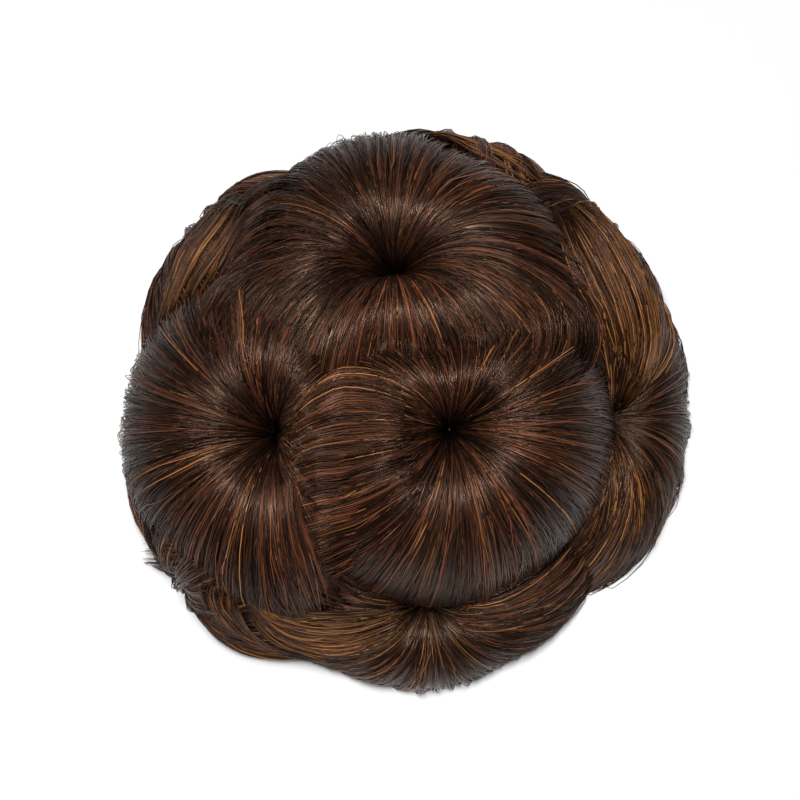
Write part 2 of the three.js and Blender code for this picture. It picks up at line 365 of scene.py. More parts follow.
def strand_rod():
    """A closed three-sided rod from z = 0 to 1, in equal lengths."""
    bpy.ops.object.select_all(action="DESELECT")
    bpy.ops.mesh.primitive_cylinder_add(
        vertices=3, radius=1, depth=1, end_fill_type="NGON", location=(0, 0, 0.5))
    rod = bpy.context.object
    bpy.ops.object.transform_apply(location=True, rotation=False, scale=False)
    bpy.ops.object.mode_set(mode="EDIT")
    bpy.ops.mesh.select_mode(type="EDGE")
    bpy.ops.mesh.select_all(action="DESELECT")
    mesh = bmesh.from_edit_mesh(rod.data)
    for edge in mesh.edges:
        edge.select_set(abs(edge.verts[0].co.z - edge.verts[1].co.z) > 0.5)
    bmesh.update_edit_mesh(rod.data)
    bpy.ops.mesh.subdivide(number_cuts=STRAND_STEPS - 2)
    bpy.ops.object.mode_set(mode="OBJECT")
    return rod


rod = strand_rod()
rod_points = np.array([v.co for v in rod.data.vertices])
rod_faces = [list(p.vertices) for p in rod.data.polygons]
rod_step = np.rint(rod_points[:, 2] * (STRAND_STEPS - 1)).astype(int)
rod_corner = np.rint(np.degrees(np.arctan2(rod_points[:, 1], rod_points[:, 0])) / 120).astype(int) % 3
bpy.data.objects.remove(rod, do_unlink=True)
print("a strand has", len(rod_points), "points and", len(rod_faces), "faces")

# %% [markdown]
# ## A mesh full of strands
#
# Each copy of the rod is bent along its path and thinned toward its tips. The map gives
# every strand a cell of its own in the lower part, under the area of the body, so a bake
# keeps the strands apart. The tone of the hair is stored at the points.

# %% Bend the rod along many paths
STRAND_WIDTH = 0.00028
LOWEST_POINT = 0.0002
CELL_MARGIN = 0.1


def rod_layout():
    """The corners of the rod's faces, and where each corner lies across its cell of the map."""
    corners = [index for face in rod_faces for index in face]
    sides = []
    for face in rod_faces:
        wraps = {0, 2} <= {rod_corner[index] for index in face} and len(face) == 4
        sides += [3 if wraps and rod_corner[index] == 0 else rod_corner[index] for index in face]
    return np.array(corners), np.array(sides), np.array([len(face) for face in rod_faces])


def strand_mesh(name, paths, outward, width, tones):
    """One mesh of rods along paths (count, steps, 3), with a tone for each step of each path."""
    count = len(paths)
    along = np.gradient(paths, axis=1)
    along /= np.linalg.norm(along, axis=-1, keepdims=True) + 1e-12
    side = np.cross(along, outward)
    side /= np.linalg.norm(side, axis=-1, keepdims=True) + 1e-12
    upright = np.cross(side, along)
    taper = np.sqrt(np.sin(np.pi * np.linspace(0.04, 0.97, STRAND_STEPS))) / 2
    half = np.asarray(width).reshape(-1, 1, 1) * taper[None, rod_step, None]
    points = paths[:, rod_step] + half * (
        rod_points[:, 1, None] * side[:, rod_step] + rod_points[:, 0, None] * upright[:, rod_step])
    points = points.reshape(-1, 3)
    points[:, 2] = np.maximum(points[:, 2], LOWEST_POINT)

    corners, cell_side, sizes = rod_layout()
    strand = np.repeat(np.arange(count), len(corners))
    mesh = bpy.data.meshes.new(name)
    mesh.vertices.add(len(points))
    mesh.vertices.foreach_set("co", points.ravel())
    mesh.loops.add(len(strand))
    mesh.loops.foreach_set("vertex_index", np.tile(corners, count) + strand * len(rod_points))
    starts = np.concatenate([[0], np.cumsum(np.tile(sizes, count))[:-1]])
    mesh.polygons.add(len(starts))
    mesh.polygons.foreach_set("loop_start", starts)
    mesh.update(calc_edges=True)
    mesh.polygons.foreach_set("use_smooth", np.ones(len(starts), bool))

    tone = mesh.color_attributes.new("tone", "FLOAT_COLOR", "POINT")
    tone.data.foreach_set("color", tones[:, rod_step].ravel())
    cells = math.ceil(math.sqrt(count))
    inner = 1 - 2 * CELL_MARGIN
    u = (strand % cells + CELL_MARGIN + inner * np.tile(cell_side, count) / 3) / cells
    step = np.tile(rod_step[corners], count) / (STRAND_STEPS - 1)
    v = (strand // cells + CELL_MARGIN + inner * step) / cells
    v = v * (1 - BODY_SHARE_OF_MAP)
    mesh.uv_layers.new(name="OFBake").data.foreach_set("uv", np.stack([u, v], -1).ravel())
    return mesh


print("a strand has", len(rod_layout()[0]), "corners in its cell of the map")

# %% [markdown]
# ## Paths over a flower
#
# Blender's own hair could grow from a body, but it isn't a mesh, and it wouldn't run from
# a pit over a crest by itself. So the strands are laid on the form of the flower. They draw
# together into locks, wander a little and lie in layers, and a few of them stray. Some
# start at the pit and others further out, as hairs of unequal length do. Where a flower is
# combed over to its neighbour, its strands sweep round on their way down.

# %% Paths of the strands
LOCKS_PER_FLOWER = 58
STRAY_SHARE = 0.07
STRAY_LIFT = 0.0005
FLY_SHARE = 0.008
FLY_LIFT = 0.0016

# Rows like the lobes of a flower: toward, width, longer, sweep
COMBED = {
    "left": [(325, 70, 0, -26)],
    "middle": [(225, 60, 0, -20), (150, 50, 0, 15)],
    "south": [(230, 60, 0, -16)],
}


def smooth_noise(random, count, waves):
    """Soft random curves from about -1 to 1, one row for each strand."""
    x = np.linspace(0, 1, STRAND_STEPS)
    total = np.zeros((count, STRAND_STEPS))
    for wave in range(1, waves + 1):
        phase = random.uniform(0, 2 * np.pi, (count, 1))
        total += random.normal(0, 1 / wave, (count, 1)) * np.sin(np.pi * wave * x + phase)
    return total / 2


def strand_paths(name, count, loft, random):
    """Paths of strands over a flower, the directions out of it, and how far each step has run."""
    flower = FLOWERS[name]
    density = np.cumsum(flower["reach"] + lobe_sum(flower, np.arange(360.0), LONGER))
    leave = np.interp(random.uniform(0, density[-1], count), density, np.arange(360.0))
    lock = np.floor(leave / 360 * LOCKS_PER_FLOWER)
    lock_shift = random.uniform(0.2, 0.8, LOCKS_PER_FLOWER)
    middle = (lock + lock_shift[lock.astype(int)]) * 360 / LOCKS_PER_FLOWER
    start = random.choice([0.02, 0.10, 0.22, 0.40], count, p=[0.45, 0.25, 0.15, 0.15])
    start = start + random.uniform(0, 0.08, count)
    end = random.choice([0.97, 0.90, 0.72], count, p=[0.6, 0.25, 0.15])
    end = end - random.uniform(0, 0.1, count)
    run = np.linspace(0, 1, STRAND_STEPS)
    along = start[:, None] + (end - start)[:, None] * run
    gather = 0.6 * np.sin(np.pi * along) ** 2 * random.uniform(0, 1, (count, 1))
    stray = (random.uniform(0, 1, count) < STRAY_SHARE)[:, None]
    fly = (random.uniform(0, 1, count) < FLY_SHARE)[:, None]
    wander = np.where(stray, 7.0, 2.0) * smooth_noise(random, count, 3)
    angle = leave[:, None] + gather * (middle - leave)[:, None] + wander
    angle = angle + lobe_sum(dict(lobes=COMBED.get(name, [])), leave, SWEEP)[:, None] * along ** 2
    points = hair_surface(flower, angle, along)
    aside = hair_surface(flower, angle + 0.5, along) - points
    onward = hair_surface(flower, angle, along + 0.01) - hair_surface(flower, angle, along - 0.01)
    outward = np.cross(onward, aside)
    outward /= np.linalg.norm(outward, axis=-1, keepdims=True)
    lift = random.uniform(-0.0003, 0.0004, (count, 1)) + 0.0001 * smooth_noise(random, count, 2)
    lift = lift + random.uniform(0, loft, (count, 1)) * np.interp(along, [0.4, 0.7, 1], [0, 1, 0.2])
    lift = lift + np.where(stray, STRAY_LIFT, 0) * np.sin(np.pi * run)
    lift = lift + np.where(fly, FLY_LIFT, 0) * run ** 2
    return stay_outside(points + lift[..., None] * outward), outward, along, lock.astype(int)


print("the hair of a flower draws together into", LOCKS_PER_FLOWER, "locks")

# %% [markdown]
# ## Colours of the hair
#
# The hair is espresso brown with auburn strands, and golden ones toward the rim. A picture
# of hair could be wrapped round it, but then every strand would be flat paint. Instead each
# strand gets one tone of this palette, by a mix of shares that suits its place: for the
# upper flowers, the rim and the golden locks, and a darker mix, as painted shade, for the
# deep valleys. Near a pit a strand gets darker, and so it does where it tucks under: this
# is painted shade, where the hair lies in shade. The fourth channel of the tone says how
# glossy the strand is.

# %% Tones
PALETTE = np.array([
    (0.007, 0.0029, 0.0018),
    (0.024, 0.0093, 0.0054),
    (0.058, 0.0215, 0.0110),
    (0.112, 0.0345, 0.0140),
    (0.215, 0.0900, 0.0250),
])
INNER_MIX = [0.30, 0.34, 0.19, 0.15, 0.02]
RIM_MIX = [0.34, 0.32, 0.15, 0.10, 0.09]
# Painted shade: mostly dark tones for the locks that lie down in the valleys
VALLEY_PAINTED_SHADE_MIX = [0.46, 0.30, 0.12, 0.11, 0.01]
GOLDEN_MIX = [0.25, 0.22, 0.16, 0.10, 0.27]
# Painted shade: strand tones darken toward the pit and at the tucked edge, where real hair lies in shade
FLOWER_PAINTED_SHADE = [0, 0.10, 0.22, 0.38, 0.85, 1.0], [0.05, 0.12, 0.5, 1.0, 1.0, 0.4]
# Painted shade: the near-black body stands for the shade under and between the strands
BODY_PAINTED_SHADE_TONE = (0.0045, 0.0024, 0.0018)


def strand_tones(along, mix, random, lock, painted_shade_and_highlight=FLOWER_PAINTED_SHADE):
    """A colour of the palette for each strand, uneven by lock, with painted shade, and for long locks a
    painted highlight, by how far it has run.
    """
    count = len(along)
    colour = PALETTE[random.choice(len(PALETTE), count, p=mix)]
    colour = colour * random.uniform(0.5, 1.5, (count, 1))
    colour = colour * random.uniform(0.4, 1.6, lock.max() + 1)[lock][:, None]
    tones = np.empty((*along.shape, 4))
    # Painted light and shade, by how far each strand has run
    tones[..., :3] = colour[:, None, :] * np.interp(along, *painted_shade_and_highlight)[..., None]
    gloss = random.uniform(0, 1, lock.max() + 1)[lock] * 0.6 + random.uniform(0, 0.4, count)
    tones[..., 3] = gloss[:, None]
    return tones


print("a palette of", len(PALETTE), "tones")

# %% [markdown]
# ## The finish of the hair
#
# False hair is a satin fibre: its gloss is brown rather than white, and it breaks up along
# the strands. So the tone gives the colour and the roughness, and fine noise, stretched
# along each strand on the map, adds streaks and a slight bump. Hair in the long locks lies
# flatter under the key light, and would mirror it as one pale sheet, so it shines less.

# %% Two finishes of brown hair
FIBRE_GLOSS_TINT = (1, 0.62, 0.45, 1)
ROUGHEST = 0.38
GLOSSIEST = 0.24


def hair_material(name, shine):
    """Satin fibre whose colour comes from the tones, with fine streaks along the hair."""
    material = bpy.data.materials.new(name)
    material.use_nodes = True
    nodes, links = material.node_tree.nodes, material.node_tree.links
    shader = nodes["Principled BSDF"]
    shader.inputs["Specular IOR Level"].default_value = shine
    shader.inputs["Specular Tint"].default_value = FIBRE_GLOSS_TINT
    tone = nodes.new("ShaderNodeAttribute")
    tone.attribute_name = "tone"
    dull = nodes.new("ShaderNodeMapRange")
    dull.inputs["To Min"].default_value = ROUGHEST
    dull.inputs["To Max"].default_value = GLOSSIEST
    links.new(tone.outputs["Alpha"], dull.inputs["Value"])
    links.new(dull.outputs["Result"], shader.inputs["Roughness"])
    place = nodes.new("ShaderNodeUVMap")
    place.uv_map = "OFBake"
    stretch = nodes.new("ShaderNodeMapping")
    stretch.inputs["Scale"].default_value = (900, 14, 1)
    streaks = nodes.new("ShaderNodeTexNoise")
    streaks.inputs["Scale"].default_value = 1
    streaks.inputs["Detail"].default_value = 3
    strength = nodes.new("ShaderNodeMapRange")
    strength.inputs["To Min"].default_value = 0.35
    strength.inputs["To Max"].default_value = 1.65
    colour = nodes.new("ShaderNodeVectorMath")
    colour.operation = "SCALE"
    bump = nodes.new("ShaderNodeBump")
    bump.inputs["Strength"].default_value = 0.4
    bump.inputs["Distance"].default_value = 0.0002
    links.new(place.outputs["UV"], stretch.inputs["Vector"])
    links.new(stretch.outputs["Vector"], streaks.inputs["Vector"])
    links.new(streaks.outputs["Fac"], strength.inputs["Value"])
    links.new(tone.outputs["Color"], colour.inputs[0])
    links.new(strength.outputs["Result"], colour.inputs["Scale"])
    links.new(colour.outputs["Vector"], shader.inputs["Base Color"])
    links.new(streaks.outputs["Fac"], bump.inputs["Height"])
    links.new(bump.outputs["Normal"], shader.inputs["Normal"])
    return material


brown_hair = hair_material("brown_hair", 0.62)
laid_hair = hair_material("laid_hair", 0.32)
print("two finishes:", brown_hair.name, "and", laid_hair.name)

# %% [markdown]
# ## The nine flowers
#
# A real bun has nine puffs of hair pinned to its net: three on top and six round the side.
# The upper ones show most, so they get finer bodies and more strands. Each flower's body
# and strands are joined into one piece, which stands for the plain solid. The bodies are
# also kept as lists, because the long locks are laid over them later.

# %% Build every flower
UPPER = ("middle", "top", "left")
SIDE = ("east", "south")
UPPER_SHARE = dict(sides=252, rings=44, strands=1900, loft=0.0012)
SIDE_SHARE = dict(sides=180, rings=34, strands=900, loft=0.0008)
RIM_SHARE = dict(sides=180, rings=34, strands=600, loft=0)
bodies = []


def paint_body_shade(mesh):
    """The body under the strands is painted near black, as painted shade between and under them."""
    tone = mesh.color_attributes.new("tone", "FLOAT_COLOR", "POINT")
    tone.data.foreach_set("color", np.tile((*BODY_PAINTED_SHADE_TONE, 0), len(mesh.vertices)))


def piece_of_hair(name, mesh):
    """An object of laid hair for a mesh, riding on the bun's one body."""
    piece = bpy.data.objects.new(name, mesh)
    bpy.context.scene.collection.objects.link(piece)
    piece.data.materials.clear()
    piece.data.materials.append(laid_hair)
    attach(piece, "root")
    return piece


def dress_flower(name, seed):
    """One flower: its body, its strands, and the solid that it stands for."""
    upper = name in UPPER
    share = UPPER_SHARE if upper else SIDE_SHARE if name in SIDE else RIM_SHARE
    random = np.random.default_rng(seed)
    body = flower_body(name, share["sides"], share["rings"])
    paint_body_shade(body.data)
    bpy.ops.object.shade_smooth()
    bodies.append((
        [v.co.copy() for v in body.data.vertices],
        [list(p.vertices) for p in body.data.polygons],
    ))
    paths, outward, along, lock = strand_paths(name, share["strands"], share["loft"], random)
    tones = strand_tones(along, INNER_MIX if upper else RIM_MIX, random, lock)
    width = STRAND_WIDTH * random.uniform(0.7, 1.25, share["strands"])
    strands = bpy.data.objects.new(
        "strands_" + name, strand_mesh("strands_" + name, paths, outward, width, tones))
    bpy.context.scene.collection.objects.link(strands)
    strands.select_set(True)
    bpy.context.view_layer.objects.active = body
    bpy.ops.object.join()
    body.data.materials.clear()
    body.data.materials.append(brown_hair)
    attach(body, "root")
    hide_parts("flower_" + name)
    triangles = sum(len(p.vertices) - 2 for p in body.data.polygons)
    print(body.name, "has", share["strands"], "strands and", triangles, "triangles")
    return body


for seed, name in enumerate(FLOWERS):
    dress_flower(name, seed)

# %% [markdown]
# ## Locks that run from flower to flower
#
# The flowers aren't shut off from each other: long locks sweep out of one pit, cross the
# valley and sink into the next pit. Their courses are given in plan, seen from above, as a
# few guide curves from one side of the lock to the other, in millimetres. Pits says
# whether the lock starts and ends in a pit, where its tones are darkened as painted shade.
# Sag is how slack its strands are and loft how thick it lies, both in millimetres, and
# light scales its tones up or down, as painted light and shade for where the lock lies.

# %% Courses of the long locks
LONG_LOCKS = {
    "top_to_left": dict(
        strands=800, mix=VALLEY_PAINTED_SHADE_MIX, sag=0.5, pits=(True, True), loft=1.1, light=0.6,
        guides=[
            [(-8.5, 30), (-18, 31), (-29, 29.5), (-40, 28.5), (-48, 23), (-51.5, 13.5), (-50, 4),
             (-44, -4.5), (-36.5, -10)],
            [(-8, 29.5), (-16.5, 29), (-26, 26.5), (-35, 23), (-41, 16), (-44, 8.5), (-42.5, 0),
             (-38, -6), (-35, -10.5)],
            [(-7.5, 28.5), (-14.5, 27.5), (-22, 24), (-29, 18.5), (-34, 11.5), (-36, 5), (-36, -1.5),
             (-35, -7), (-34, -10.5)],
            [(-7, 28), (-12.5, 25), (-18.5, 20), (-24, 14), (-28, 8.5), (-30, 2.5), (-31, -3),
             (-32, -8), (-33, -11)],
            [(-6, 27.5), (-10.5, 22.5), (-15.5, 16.5), (-19.5, 11), (-23, 6), (-25.5, 1), (-27.5, -4.5),
             (-29.5, -8.5), (-32, -11)],
        ],
    ),
    "top_to_middle": dict(
        strands=800, mix=VALLEY_PAINTED_SHADE_MIX, sag=0.6, pits=(True, True), loft=1.1, light=0.7,
        guides=[
            [(-2, 27.5), (2.5, 21.5), (7, 17.5), (10, 12.5), (12, 8), (12, 2), (11.5, -3.5), (11, -7),
             (10, -9)],
            [(-1.5, 28), (6, 23.5), (13.5, 19.5), (18.5, 14.5), (20.5, 8.5), (20, 2), (17.5, -3.5),
             (15, -6.5), (12, -9)],
            [(-1.5, 29), (8.5, 26.5), (19, 23.5), (25.5, 18), (29, 12), (28, 3.5), (23.5, -3.5),
             (18.5, -7.5), (14, -10)],
            [(-1.5, 29.5), (10.5, 29.5), (23, 28), (32.5, 22.5), (37, 15.5), (37, 7), (32, -2),
             (23, -8), (14, -10.5)],
            [(-1.5, 30.5), (11, 32.5), (25.5, 32), (36.5, 28), (44, 20.5), (46, 12), (41.5, 1.5),
             (30, -7.5), (14.5, -12)],
        ],
    ),
    "top_to_northwest": dict(
        strands=420, mix=VALLEY_PAINTED_SHADE_MIX, sag=0.3, pits=(True, False), loft=1.4, light=0.55,
        guides=[
            [(-5.5, 32), (-12, 42), (-21, 50.5), (-31, 53), (-38.5, 51), (-42.5, 45), (-44.5, 37)],
            [(-6, 31), (-13.5, 37.5), (-22.5, 44.5), (-32.5, 50), (-39, 46.5), (-43, 39), (-46, 31.5)],
            [(-6, 30.5), (-14.5, 33.5), (-23.5, 38), (-32.5, 41), (-39.5, 38), (-44.5, 32),
             (-47.5, 25.5)],
            [(-6.5, 29.5), (-15.5, 31), (-24.5, 32.5), (-33.5, 33.5), (-40.5, 30.5), (-45, 25),
             (-48.5, 18.5)],
        ],
    ),
    "round_northwest": dict(
        strands=700, mix=GOLDEN_MIX, sag=0.06, pits=(True, False), loft=1.5, light=0.75,
        guides=[
            [(-41.5, 51.5), (-48, 47.5), (-54, 41), (-58.5, 35), (-60.5, 27.5), (-62.5, 21),
             (-64.5, 15)],
            [(-41, 51), (-46, 44.5), (-50.5, 38.5), (-54.5, 33), (-57.5, 27), (-59.5, 22), (-61, 17)],
            [(-40, 50), (-42.5, 43), (-46, 37), (-49.5, 32), (-52.5, 28), (-55, 24), (-57, 20)],
            [(-39.5, 49.5), (-40, 42), (-42, 36), (-45, 31), (-47.5, 27), (-50, 24), (-52.5, 20.5)],
        ],
    ),
    "northeast_to_east": dict(
        strands=1000, mix=GOLDEN_MIX, sag=0.3, pits=(True, True), loft=1.8, light=0.8,
        guides=[
            [(34.5, 49.5), (44, 50), (51, 43), (56.5, 35), (60.5, 27), (62.5, 18.5), (62, 9.5),
             (57.5, 1.5), (52, -4)],
            [(34, 49.5), (41, 45.5), (47.5, 39), (52.5, 30.5), (56, 21.5), (57.5, 13), (56, 5.5),
             (53.5, 0.5), (51, -4)],
            [(34, 49), (39, 43), (43.5, 35.5), (48, 26.5), (51.5, 18), (53, 10.5), (52.5, 4.5),
             (51.5, 0), (50.5, -4)],
            [(34, 48.5), (37, 41.5), (40, 33), (44, 24.5), (48, 17), (50, 10), (50.5, 4), (50.5, 0),
             (49, -5.5)],
            [(34, 48), (35, 40), (37, 31), (40, 24), (44, 18), (47, 11), (48.5, 4.5), (49, -1.5),
             (49, -6)],
        ],
    ),
    "round_north": dict(
        strands=260, mix=GOLDEN_MIX, sag=0.06, pits=(True, True), loft=1, light=0.9,
        guides=[
            [(-2, 66.5), (7.5, 67.5), (17, 66.5), (25, 63), (31, 60), (33.5, 51.5)],
            [(-1.5, 62.5), (7.5, 65.5), (16, 63), (23.5, 60), (29, 55.5), (33.5, 51)],
            [(0, 61), (7.5, 64), (14.5, 61), (21.5, 57.5), (27.5, 53.5), (33, 50.5)],
        ],
    ),
    "middle_to_left": dict(
        strands=900, mix=INNER_MIX, sag=0.15, pits=(True, False), loft=2.2, light=1.35,
        guides=[
            [(5.5, -9), (-1.5, -4), (-9, -0.5), (-16.5, 0.5), (-22, -2.5), (-26, -7), (-28.5, -11)],
            [(5.5, -10.5), (-2, -8.5), (-9.5, -6.5), (-16.5, -6), (-22, -8.5), (-26, -11), (-29.5, -14)],
            [(5, -13), (-2, -13), (-9.5, -12.5), (-16, -12.5), (-22, -14), (-26, -16), (-29.5, -17.5)],
            [(5, -15), (-2, -17), (-9.5, -18), (-16, -18.5), (-22, -19), (-26, -20.5), (-29, -22)],
            [(5, -18), (-2, -20.5), (-9, -23), (-15.5, -24.5), (-21.5, -25), (-25.5, -26.5), (-29, -27)],
            [(5.5, -20), (-1, -24.5), (-8, -28), (-14.5, -30), (-20, -31), (-24, -32), (-27.5, -32.5)],
            [(6.5, -21.5), (1, -27), (-5.5, -32), (-11.5, -35.5), (-17.5, -37), (-22, -38.5),
             (-25.5, -39)],
            [(7.5, -22.5), (3, -30), (-2.5, -36.5), (-8.5, -41.5), (-14, -44.5), (-18.5, -46.5),
             (-22.5, -48)],
        ],
    ),
    "left_to_middle": dict(
        strands=420, mix=INNER_MIX, sag=0.1, pits=(True, False), loft=1.6, light=1,
        guides=[
            [(-29.5, -16), (-27, -24), (-25, -32), (-22, -40), (-16, -45), (-9, -49)],
            [(-30, -16.5), (-28, -25), (-27, -34), (-24.5, -42.5), (-19, -47.5), (-12.5, -51)],
            [(-31, -16.5), (-30, -26), (-29, -36), (-27, -44.5), (-22, -50), (-15, -52.5)],
            [(-32.5, -15.5), (-31.5, -27), (-31, -37.5), (-29.5, -46.5), (-24.5, -51.5), (-17.5, -53.5)],
        ],
    ),
    "southwest_to_south": dict(
        strands=800, mix=GOLDEN_MIX, sag=0.06, pits=(True, True), loft=1.5, light=0.85,
        guides=[
            [(-40, -48.5), (-35.5, -52), (-29, -54), (-21, -54), (-12.5, -53.5), (-4, -52.5),
             (1.5, -51.5)],
            [(-40, -49), (-36.5, -53.5), (-30.5, -57), (-22, -58.5), (-13.5, -58), (-4.5, -55),
             (2, -52)],
            [(-40.5, -49.5), (-37, -55), (-31.5, -60), (-23.5, -62.5), (-14.5, -62.5), (-5, -59),
             (2, -52)],
            [(-40.5, -50), (-38, -56.5), (-33, -61), (-25.5, -63), (-16, -65), (-5.5, -62.5),
             (2.5, -53)],
        ],
    ),
    "round_southwest": dict(
        strands=760, mix=GOLDEN_MIX, sag=0.04, pits=(True, True), loft=1.6, light=0.9,
        guides=[
            [(-49, -44.5), (-51, -48.5), (-49, -53.5), (-45, -57.5), (-38.5, -60.5), (-31.5, -62.5),
             (-24, -63.5)],
            [(-47, -45.5), (-48.5, -50), (-46.5, -55), (-42, -58.5), (-36, -61), (-30, -63), (-23, -64)],
            [(-44, -46.5), (-45.5, -51.5), (-43.5, -55.5), (-39.5, -59.5), (-34.5, -62), (-29, -63),
             (-22.5, -64.5)],
            [(-42, -48), (-41.5, -52.5), (-40, -56.5), (-36.5, -60), (-31.5, -62.5), (-26.5, -63.5),
             (-21, -65)],
        ],
    ),
    "left_tips": dict(
        strands=160, mix=INNER_MIX, sag=0.02, pits=(True, False), loft=0.8, light=0.7,
        guides=[
            [(-50.5, -39.5), (-55, -37), (-60, -34), (-64, -30)],
            [(-50, -41), (-56, -39.5), (-61.5, -39), (-69, -38.5)],
            [(-49.5, -42.5), (-54.5, -42.5), (-59, -42.5), (-65.5, -40)],
            [(-49, -43.5), (-52.5, -44.5), (-55, -45.5), (-60, -42.5)],
        ],
    ),
    "east_tips": dict(
        strands=420, mix=GOLDEN_MIX, sag=0.05, pits=(True, False), loft=1.2, light=0.8,
        guides=[
            [(51, -7.5), (55.5, -13.5), (59.5, -21), (62, -28.5), (61, -36)],
            [(50.5, -8), (54, -15.5), (56.5, -24), (57.5, -32), (56, -38.5)],
            [(49, -10), (51, -17.5), (52.5, -26), (52, -34.5), (49, -41)],
            [(48.5, -11), (49, -19), (48, -27), (46, -34), (42.5, -39.5)],
            [(48, -11.5), (46.5, -19), (44.5, -26), (41, -32.5), (36.5, -38.5)],
        ],
    ),
    "south_to_east": dict(
        strands=300, mix=GOLDEN_MIX, sag=0.05, pits=(True, False), loft=1, light=0.8,
        guides=[
            [(5, -51.5), (12.5, -53), (22, -51.5), (31.5, -46.5), (38, -40), (41, -35.5)],
            [(5, -52), (12.5, -55.5), (23, -54.5), (33.5, -50), (41, -43), (43.5, -38.5)],
            [(5, -52.5), (13, -57.5), (23.5, -57.5), (35, -53), (43, -46), (45, -41.5)],
        ],
    ),
    "top_fringe": dict(
        strands=320, mix=INNER_MIX, sag=0.1, pits=(True, False), loft=1, light=0.75,
        guides=[
            [(-7.5, 26), (-10.5, 17), (-14.5, 11), (-17.5, 5), (-19, 0.5)],
            [(-5.5, 23), (-7.5, 15.5), (-9.5, 9.5), (-12, 5), (-13, 1)],
            [(-4, 23), (-4, 15.5), (-4.5, 10), (-5, 5.5), (-5.5, 1)],
            [(-2.5, 23.5), (-1, 16), (0.5, 10), (1.5, 6.5), (2, 2.5)],
            [(-1.5, 24.5), (2, 17.5), (5, 12), (7.5, 7.5), (9, 4.5)],
        ],
    ),
}
print("courses of", len(LONG_LOCKS), "long locks")

# %% [markdown]
# ## Laying the strands
#
# A hair simulation could let the strands fall, but it is slow and hard to steer in a bun as
# crowded as this. A slack thread is simpler: it rests on the crests under it and hangs in a
# shallow arc between them, never more than a few millimetres off the hair below. The
# strands of a lock keep together in wisps, and each wisp starts and ends at a place of its
# own, so that no lock is cut off along a line.

# %% Find what lies under a strand
ABOVE_ALL = 0.1
FIRST_HEIGHT = 0.03
DROOP_PER_STEP = 0.0004
STEEPEST_DROP = 0.012


def bodies_tree():
    """A search tree over all flower bodies, to find where a strand would touch them."""
    points, faces = [], []
    for body_points, body_faces in bodies:
        first = len(points)
        points += body_points
        faces += [[first + index for index in face] for face in body_faces]
    return BVHTree.FromPolygons(points, faces)


tree = bodies_tree()


def height_under(plan):
    """The height of the uppermost body under each point; past the rim it goes on, a bit lower."""
    down = Vector((0, 0, -1))
    heights = np.empty(plan.shape[:2])
    for strand, step in np.ndindex(*heights.shape):
        hit = tree.ray_cast(Vector((*plan[strand, step], ABOVE_ALL)), down)[0]
        before = heights[strand, step - 1] - DROOP_PER_STEP if step else FIRST_HEIGHT
        heights[strand, step] = max(hit.z, before - STEEPEST_DROP) if hit else before
    return heights


print("the top of the bodies is", height_under(np.zeros((1, 1, 2)))[0, 0].round(4), "m up in the middle")

# %% Lay a strand over it
HANG = 0.0035
SETTLING_ROUNDS = 80


def lie_over(plan, clearance, sag):
    """Paths over the bodies: a strand rests on the crests and hangs slack over the valleys."""
    resting = height_under(plan) + clearance
    height = resting.copy()
    for _ in range(SETTLING_ROUNDS):
        between = (height[:, :-2] + height[:, 2:]) / 2 - sag
        height[:, 1:-1] = np.clip(between, resting[:, 1:-1], resting[:, 1:-1] + HANG)
    return np.concatenate([plan, height[..., None]], -1)


print("a strand hangs", 1000 * HANG, "mm off the hair at most")

# %% Make every long lock
STRANDS_PER_WISP = 12
WISP_SPREAD = 0.02
END_SPREAD = 0.45
SHORTEST_RUN = 0.3
WISP_SWAY = 0.016
STRAND_SWAY = 0.006
# Painted shade for lock ends that lie in a pit; an open end keeps nearly its full tone
PIT_PAINTED_SHADE = [0.05, 0.15]
OPEN_SHADE = [0.9, 1.0]


